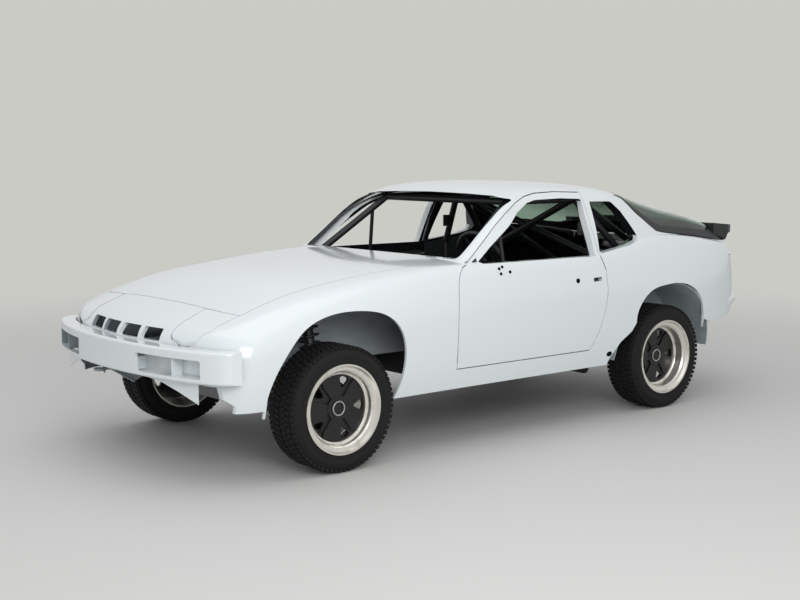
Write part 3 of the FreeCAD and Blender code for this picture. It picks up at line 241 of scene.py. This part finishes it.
def moulded_rubber():
    """Flexible moulded polyurethane of the spoiler: black with a soft sheen."""
    made, tree, shader = surface("moulded_rubber", Roughness=0.5)
    pores = noise(tree, 2, 2.0)
    blended(tree, shader, pores, "#1C1D1E", "#262728")
    bump(tree, shader, pores, 0.2, 0.2)
    return made


def turned_alloy():
    """Cast aluminium wheel rim, lathe-turned and bright, with a little brown road dirt."""
    made, tree, shader = surface("turned_alloy", Metallic=0.85, Roughness=0.28)
    dirt = noise(tree, 55, 5.0)
    patches = add(tree, "ShaderNodeMapRange", {"Value": dirt, "From Min": 0.55, "From Max": 0.85})
    blended(tree, shader, patches.outputs[0], "#E6E3DB", "#A39A88")
    bump(tree, shader, dirt, 0.1, 0.2)
    return made


def black_wheel_paint():
    """Black enamel on cast aluminium spokes, with fine brake dust."""
    made, tree, shader = surface("black_wheel_enamel", Roughness=0.36)
    blended(tree, shader, noise(tree, 30, 4.0), "#070708", "#131211")
    return made


def cast_metal():
    """Sand-cast aluminium of engine and gearbox, dull grey and grainy."""
    made, tree, shader = surface("sand_cast_aluminium", Metallic=0.6, Roughness=0.55)
    grain = noise(tree, 5, 5.0)
    blended(tree, shader, grain, "#6E6F70", "#8E8F90")
    bump(tree, shader, grain, 0.3, 0.4)
    return made


def steel_fitting():
    """Zinc-plated steel of the hub rings."""
    made, tree, shader = surface("zinc_plated_steel", Metallic=1.0, Roughness=0.3)
    blended(tree, shader, noise(tree, 8, 3.0), "#A9A9A6", "#C9C9C5")
    return made


def painted_hole_shade():
    """Painted shade: a near-black matt colour, a little uneven, that stands in for the unlit depth
    of a drilled hole.
    """
    made, tree, shader = surface("painted_hole_shade", Roughness=0.9, Specular_IOR_Level=0.1)
    blended(tree, shader, noise(tree, 10, 2.0), "#030304", "#0B0B0C")
    return made


def tinted_glass():
    """Green-tinted safety glass with a faint film of dust."""
    made, tree, shader = surface("tinted_safety_glass", Base_Color=linear("#9DB8A8"), IOR=1.5,
                                 Transmission_Weight=1.0)
    inputs = {"Value": noise(tree, 120, 4.0), "To Min": 0.02, "To Max": 0.12}
    film = add(tree, "ShaderNodeMapRange", inputs)
    tree.links.new(film.outputs[0], shader.inputs["Roughness"])
    return made


BLACK, GREY, RUBBER = satin_black(), well_paint(), tyre_rubber()
OUTER = enamelled_panel("white_enamel_black_inside", "#17181A")
WING = enamelled_panel("white_enamel_grey_inside", "#8F989D")
TRIM, ALLOY, WHEEL_BLACK = moulded_rubber(), turned_alloy(), black_wheel_paint()
CAST, STEEL, GLASS, HOLE_SHADE = cast_metal(), steel_fitting(), tinted_glass(), painted_hole_shade()

FINISHES = {
    "shell_paint": OUTER, "tyre_rubber": RUBBER, "polished_rim": ALLOY,
    "black_wheel_centre": WHEEL_BLACK, "tinted_glass": GLASS, "black_rubber": TRIM,
    "black_trim": BLACK, "wing_grey_paint": GREY, "cabin_black_paint": BLACK, "cage_paint": BLACK,
    "wheel_rim_leather": BLACK, "spring_paint": BLACK, "cast_alloy": CAST, "black_steel": BLACK,
}
slot_of = {row["node"]: row["material_slot"] for row in frame["record"]["subparts"]}
bodies = frame["record"]["behaviour"]["bodies"]
body_of = {node: body for body, held in bodies.items() for node in held}
for name, cad in nodes.items():
    cad.data.materials.clear()
    cad.data.materials.append(FINISHES[slot_of[name]])
for name in ("fenders", "front_bumper", "nose_panel"):
    nodes[name].material_slots[0].material = WING


def chosen_alone(piece):
    """Makes a piece the one selected and active object."""
    bpy.ops.object.select_all(action="DESELECT")
    piece.select_set(True)
    bpy.context.view_layer.objects.active = piece


def edit(piece, chosen):
    """Opens a piece in edit mode with the vertices at the chosen places selected."""
    chosen_alone(piece)
    bpy.context.tool_settings.mesh_select_mode = (True, False, False)
    bpy.ops.object.mode_set(mode="EDIT")
    bpy.ops.mesh.select_all(action="DESELECT")
    bpy.ops.object.mode_set(mode="OBJECT")
    for vertex in piece.data.vertices:
        vertex.select = chosen(vertex.co)
    bpy.ops.object.mode_set(mode="EDIT")


def done(piece, name, material, body=None):
    """Closes a piece: outward faces, place applied, smooth by angle, material, and its body."""
    bpy.ops.object.mode_set(mode="OBJECT")
    chosen_alone(piece)
    bpy.ops.object.transform_apply(location=True, rotation=True, scale=True)
    bpy.ops.object.mode_set(mode="EDIT")
    bpy.ops.mesh.select_all(action="SELECT")
    bpy.ops.mesh.remove_doubles(threshold=0.02 * MM)
    bpy.ops.mesh.normals_make_consistent(inside=False)
    bpy.ops.object.mode_set(mode="OBJECT")
    bpy.ops.object.shade_smooth_by_angle(angle=math.radians(35))
    piece.name = name
    piece.data.materials.clear()
    piece.data.materials.append(material)
    if body:
        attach(piece, body)
    return piece


def soften(piece, bevel):
    """Rounds all edges of a new piece."""
    bpy.ops.object.mode_set(mode="EDIT")
    bpy.ops.mesh.select_all(action="SELECT")
    if bevel:
        bpy.ops.mesh.bevel(offset=bevel, segments=2, affect="EDGES")
    bpy.ops.object.mode_set(mode="OBJECT")
    return piece


def block(centre, size, bevel=0.0, turn=(0, 0, 0)):
    """A block with softened edges."""
    bpy.ops.object.select_all(action="DESELECT")
    bpy.ops.mesh.primitive_cube_add(size=1.0, location=centre, rotation=turn)
    made = bpy.context.object
    made.scale = size
    bpy.ops.object.transform_apply(location=False, rotation=False, scale=True)
    return soften(made, bevel)


def disc(centre, r, depth, facing, bevel, sides=32):
    """A round pad whose axis points the way it faces, with a softened edge."""
    bpy.ops.object.select_all(action="DESELECT")
    turn = Vector(facing).to_track_quat("Z", "Y").to_euler()
    bpy.ops.mesh.primitive_cylinder_add(vertices=sides, radius=r, depth=depth, location=centre,
                                        rotation=turn)
    return soften(bpy.context.object, bevel)


def joined(pieces):
    """Several pieces as one object."""
    bpy.ops.object.select_all(action="DESELECT")
    for piece in pieces:
        piece.select_set(True)
    bpy.context.view_layer.objects.active = pieces[0]
    bpy.ops.object.join()
    return bpy.context.object


def moved_copy(piece, shift, name, body):
    """A copy with its own mesh, moved by the shift in its mesh."""
    copy = piece.copy()
    copy.data = piece.data.copy()
    bpy.context.scene.collection.objects.link(copy)
    copy.data.transform(Matrix.Translation(shift))
    copy.name = name
    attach(copy, body)
    return copy


def around(r, angle, y):
    """A point at an angle round the tyre's axis, from the top."""
    return (r * math.sin(angle), y, r * math.cos(angle))


def tread_pitch():
    """One pitch of the tread: staggered blocks across the crown and a lug on each shoulder."""
    pitch = 2 * math.pi * TYRE_R / TREAD_PITCHES
    blocks = []
    for y, width, share, lead, turn in TREAD_BLOCKS:
        angle = lead * pitch / TYRE_R
        spot = around(TYRE_R - TREAD_DEPTH / 2, angle, y)
        size = (pitch * share, width, TREAD_DEPTH)
        blocks.append(block(spot, size, BLOCK_EDGE, (0, angle, turn)))
    for k, lead in ((1, STAGGER), (-1, 0.0)):
        angle = lead * pitch / TYRE_R
        spot = around(TYRE_R - LUG_DROP, angle, k * LUG_Y)
        size = (pitch * LUG_SHARE, LUG_WIDTH, LUG_HEIGHT)
        blocks.append(block(spot, size, LUG_EDGE, (-k * LUG_TILT, angle, 0)))
    return joined(blocks)


def all_terrain_tyre():
    """A tyre at the origin about Y: a drawn-out casing and the tread spun round it."""
    bpy.ops.object.select_all(action="DESELECT")
    casing_r = TYRE_R - TREAD_DEPTH
    bpy.ops.mesh.primitive_cylinder_add(vertices=CASING_SIDES, radius=casing_r, depth=CROWN_WIDTH,
                                        end_fill_type="NOTHING", rotation=(math.pi / 2, 0, 0))
    casing = bpy.context.object
    bpy.ops.object.transform_apply(location=False, rotation=True, scale=False)
    for k in (1, -1):
        edit(casing, lambda spot: spot.y * k > CROWN_WIDTH / 2 - 1 * MM)
        r, y = casing_r, CROWN_WIDTH / 2
        for next_r, next_y in TYRE_WALL:
            bpy.ops.mesh.extrude_edges_move()
            bpy.ops.transform.translate(value=(0, k * (next_y - y), 0))
            bpy.ops.transform.resize(value=(next_r / r, 1, next_r / r),
                                     center_override=(0, k * next_y, 0))
            r, y = next_r, next_y
        bpy.ops.object.mode_set(mode="OBJECT")
    tread = tread_pitch()
    copies = TREAD_PITCHES - 1
    bpy.ops.object.mode_set(mode="EDIT")
    bpy.ops.mesh.select_all(action="SELECT")
    bpy.ops.mesh.spin(steps=copies, dupli=True, angle=2 * math.pi * copies / TREAD_PITCHES,
                      center=(0, 0, 0), axis=(0, 1, 0))
    bpy.ops.object.mode_set(mode="OBJECT")
    return done(joined([casing, tread]), "tyre_pattern", RUBBER)


def hub_ring():
    """The bright machined ring round the hub cap."""
    bpy.ops.object.select_all(action="DESELECT")
    bpy.ops.mesh.primitive_torus_add(major_radius=RING_R, minor_radius=RING_WIRE_R,
                                     major_segments=48, minor_segments=8,
                                     rotation=(math.pi / 2, 0, 0))
    return done(bpy.context.object, "ring_pattern", STEEL)


def dress_wheels():
    """Treaded tyres in place of the plain ones, and a cap and a ring on each hub."""
    tyre = all_terrain_tyre()
    cap = disc((0, 0, 0), CAP_R, CAP_DEPTH, (0, 1, 0), CAP_EDGE, 48)
    cap = done(cap, "cap_pattern", WHEEL_BLACK)
    ring = hub_ring()
    for end in ("front", "rear"):
        for side, k in SIDES:
            label = end + "_" + side
            body = body_of["tyre_" + label]
            low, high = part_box("tyre_" + label)
            centre = (low + high) / 2
            made = moved_copy(tyre, centre, "all_terrain_tyre_" + label, body)
            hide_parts("tyre_" + label)
            low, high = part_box("spider_" + label)
            face = high.y - HUB_STEP if k > 0 else low.y + HUB_STEP
            spot, step = Vector((centre.x, face, centre.z)), Vector((0, k * HUB_STEP, 0))
            moved_copy(cap, spot - step, "hub_cap_" + label, body)
            moved_copy(ring, spot + step, "hub_ring_" + label, body)
    for pattern in (tyre, cap, ring):
        bpy.data.objects.remove(pattern)


def on_side(spot, k):
    """Frame place of a (station, y, z) on the left, or its mirror place on the right."""
    station, y, z = spot
    return (at(station), k * y, z)


def pillar_foot(side, k):
    """The corner of the rear quarter at the foot of the door's rear edge, drawn up row by row."""
    rear = at(FOOT_REAR)
    z, length, y = FOOT_ROWS[0]
    foot = block((rear + length / 2, k * (y - FOOT_DEPTH / 2), z), (length, FOOT_DEPTH, FOOT_START))
    edit(foot, lambda spot: spot.z > 0)
    for next_z, next_length, next_y in FOOT_ROWS[1:]:
        step = (0, k * (next_y - y), next_z - z)
        bpy.ops.mesh.extrude_region_move(TRANSFORM_OT_translate={"value": step})
        bpy.ops.transform.resize(value=(next_length / length, 1, 1), center_override=(rear, 0, 0))
        z, length, y = next_z, next_length, next_y
    done(foot, "pillar_foot_" + side, OUTER, body_of["quarter_panels"])


def dress_body():
    """Painted shade in the stripped doors' lock holes, handle openings and mirror holes and in the
    sills' jack holes, given as near-black pads and blocks.
    """
    for side, k in SIDES:
        door = body_of["door_" + side]
        # Painted shade: near-black pads stand in for the unlit depths of the lock hole and the
        # mirror holes.
        lock = disc(on_side(LOCK_AT, k), LOCK_R, HOLE_DEPTH, (0, k, 0), SMALL_EDGE)
        done(lock, "door_lock_" + side, HOLE_SHADE, door)
        # Painted shade: a satin black block behind the handle opening stands in for its unlit depth.
        opening_shade = block(on_side(HANDLE_OPENING_AT, k), HANDLE_OPENING_SIZE, SMALL_EDGE)
        done(opening_shade, "handle_opening_shade_" + side, BLACK, door)
        for i, spot in enumerate(MIRROR_HOLES):
            plug = disc(on_side(spot, k), MIRROR_HOLE_R, HOLE_DEPTH, (0, k, 0.3), SMALL_EDGE, 20)
            done(plug, "mirror_hole_%d_%s" % (i, side), HOLE_SHADE, door)
        # Painted shade: a near-black oval pad stands in for the unlit depth of the sill's jack hole.
        jack = disc(on_side(JACK_AT, k), JACK_R, JACK_DEPTH, (0, k, JACK_LEAN), SMALL_EDGE)
        jack.scale = (JACK_STRETCH, 1, 1)
        done(jack, "jack_hole_" + side, HOLE_SHADE, body_of["quarter_panels"])
        pillar_foot(side, k)


def set_camera():
    """The photograph's view: a long lens at standing eye height, off the left front corner."""
    data = bpy.data.cameras.new("camera")
    data.lens, data.sensor_width = LENS_MM, SENSOR_MM
    camera = bpy.data.objects.new("camera", data)
    bpy.context.scene.collection.objects.link(camera)
    ahead = Vector((math.cos(CAMERA_YAW) * math.cos(CAMERA_PITCH),
                    math.sin(CAMERA_YAW) * math.cos(CAMERA_PITCH), math.sin(CAMERA_PITCH)))
    right = ahead.cross(Vector((0, 0, 1))).normalized()
    up = right.cross(ahead)
    turned_right = right * math.cos(CAMERA_ROLL) + up * math.sin(CAMERA_ROLL)
    turned_up = up * math.cos(CAMERA_ROLL) - right * math.sin(CAMERA_ROLL)
    turn = Matrix((turned_right, turned_up, -ahead)).transposed()
    camera.matrix_world = Matrix.Translation(on_side(CAMERA_AT, 1)) @ turn.to_4x4()
    bpy.context.scene.camera = camera


def seen_directly(tree):
    """1 for rays that come from the camera, also through glass."""
    path = add(tree, "ShaderNodeLightPath").outputs
    return compute(tree, "MAXIMUM", path["Is Camera Ray"], path["Is Transmission Ray"])


def studio_floor():
    """Matt floor paint that keeps the shadow near the car and runs into the backdrop further out."""
    paint, tree, shader = surface("floor_paint", Base_Color=linear(FLOOR), Roughness=0.7)
    where = add(tree, "ShaderNodeTexCoord").outputs["Object"]
    reach = add(tree, "ShaderNodeVectorMath", {0: where}, operation="LENGTH").outputs["Value"]
    inputs = {"Value": reach, "From Min": FLOOR_FADE[0], "From Max": FLOOR_FADE[1]}
    far = add(tree, "ShaderNodeMapRange", inputs, interpolation_type="SMOOTHSTEP").outputs[0]
    share = compute(tree, "MULTIPLY", far, seen_directly(tree))
    pale = add(tree, "ShaderNodeEmission", {"Color": linear(BACKDROP)})
    both = add(tree, "ShaderNodeMixShader", {0: share, 1: shader.outputs[0], 2: pale.outputs[0]})
    tree.links.new(both.outputs[0], tree.nodes["Material Output"].inputs["Surface"])
    return paint


def studio():
    """A pale floor that runs into the backdrop, a soft world and two softboxes."""
    bpy.ops.object.select_all(action="DESELECT")
    bpy.ops.mesh.primitive_plane_add(size=FLOOR_SIZE)
    floor = bpy.context.object
    floor.name = "floor"
    floor.data.materials.append(studio_floor())
    world = bpy.data.worlds.new("studio")
    bpy.context.scene.world = world
    world.use_nodes = True
    tree = world.node_tree
    seen = seen_directly(tree)
    back = tree.nodes["Background"]
    tree.links.new(mixed(tree, seen, SKY, BACKDROP), back.inputs["Color"])
    strength = add(tree, "ShaderNodeMix", {"Factor": seen, 2: SKY_STRENGTH, 3: 1.0})
    tree.links.new(strength.outputs[0], back.inputs["Strength"])
    for spot, size, power in SOFTBOXES:
        lamp = bpy.data.lights.new("softbox", "AREA")
        lamp.shape, lamp.size, lamp.size_y, lamp.energy = "RECTANGLE", size[0], size[1], power
        light = bpy.data.objects.new("softbox", lamp)
        bpy.context.scene.collection.objects.link(light)
        light.location = spot
        aim = Vector(LIGHTS_AIM) - Vector(spot)
        light.rotation_euler = aim.to_track_quat("-Z", "Y").to_euler()


dress_wheels()
dress_body()
set_camera()
studio()
bpy.context.scene.view_settings.view_transform = "Standard"
